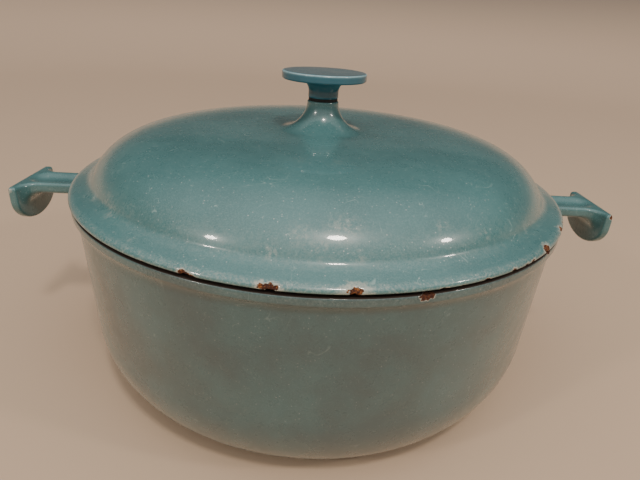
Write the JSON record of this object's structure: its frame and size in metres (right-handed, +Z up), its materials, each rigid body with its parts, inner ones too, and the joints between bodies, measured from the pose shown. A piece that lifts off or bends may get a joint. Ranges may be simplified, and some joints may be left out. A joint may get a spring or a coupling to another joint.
{
  "type": "casserole pot",
  "caption": "Round enamelled cast iron casserole with a domed lid, a flat disc knob on a pedestal and side bar handles that end in hanging plates with rounded bottoms.",
  "frame": {"origin": "centre of the base, on the surface that the pot stands on", "axes": "+Z up through the knob, +X through a handle"},
  "size_m": [0.3566, 0.28, 0.1764],
  "materials": {
    "pot_enamel": "grey-teal vitreous enamel, glossy, worn and chipped at the edges, pale inside",
    "lid_enamel": "grey-teal vitreous enamel, glossy, worn and chipped along the rim, pale inside",
    "knob_plastic": "deep teal moulded phenolic, glossy",
    "insert_brass": "turned",
    "gasket_fibre": "black heat-proof fibre, matt",
    "fixing_steel": "zinc-plated"
  },
  "bodies": {
    "pot": {"pot": "pot_enamel"},
    "lid": {"lid": "lid_enamel", "knob_screw": "fixing_steel", "flat_washer": "fixing_steel", "spring_washer": "fixing_steel"},
    "gasket": {"knob_gasket": "gasket_fibre"},
    "knob": {"knob": "knob_plastic", "knob_insert": "insert_brass"}
  },
  "joints": [
    {"name": "lid_lift", "type": "slide", "parent": "pot", "child": "lid", "axis": [0, 0, 1], "range_m": [0, 0.18]},
    {"name": "knob_rise", "type": "slide", "parent": "lid", "child": "gasket", "axis": [0, 0, 1], "range_m": [0, 0.0091]},
    {"name": "knob_turn", "type": "hinge", "parent": "gasket", "child": "knob", "pos_m": [0, 0, 0.162], "axis": [0, 0, 1], "range_deg": [0, 3240]}
  ],
  "couplings": [
    {"joint": "knob_rise", "follows": "knob_turn", "m_per_rad": 0.00015915}
  ]
}
